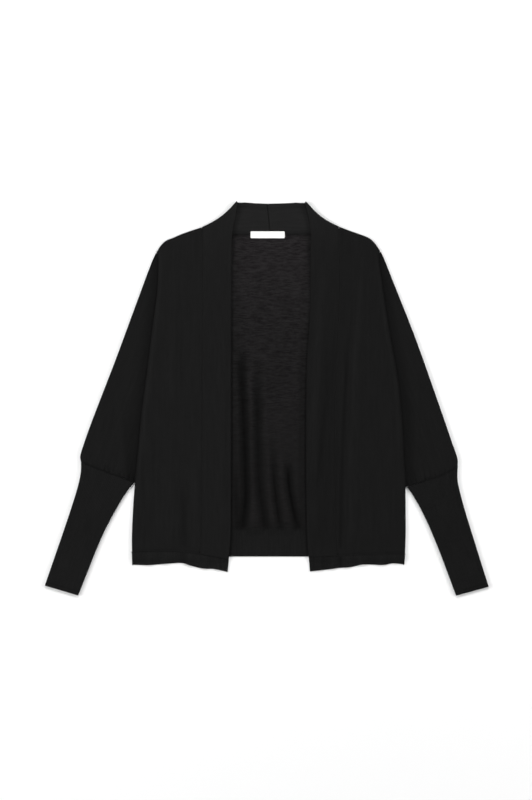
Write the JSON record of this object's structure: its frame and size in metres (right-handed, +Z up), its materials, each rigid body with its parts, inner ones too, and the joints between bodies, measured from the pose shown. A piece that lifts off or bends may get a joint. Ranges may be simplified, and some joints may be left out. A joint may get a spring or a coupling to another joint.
{
  "type": "open-front knitted cardigan with batwing sleeves, laid flat",
  "caption": "Open-front fine-knit cardigan with batwing sleeves, long ribbed cuffs and a doubled front band that folds into a collar, laid flat on its back.",
  "frame": {"origin": "on the surface that the cardigan lies on, under the middle of its outline", "axes": "+X to the wearer's left, +Y to the collar, +Z up off the surface"},
  "size_m": [0.7772, 0.6908, 0.0083],
  "materials": {
    "jersey_face": "fine-gauge plain knit, black, face side, matt",
    "jersey_purl": "the same knit from its purl side, black, matt, slightly lighter",
    "rib_knit": "fine rib knit, black, matt",
    "band_knit": "doubled fine knit, black, matt",
    "label_tape": "bare white woven tape, satin"
  },
  "bodies": {
    "root": {"back": "jersey_purl", "front_right": "jersey_face", "front_left": "jersey_face", "sleeve_right": "jersey_face", "sleeve_left": "jersey_face", "cuff_right": "rib_knit", "cuff_left": "rib_knit", "band_right": "band_knit", "band_left": "band_knit", "hem_back": "rib_knit", "hem_front_right": "rib_knit", "hem_front_left": "rib_knit", "label": "label_tape"}
  },
  "joints": []
}
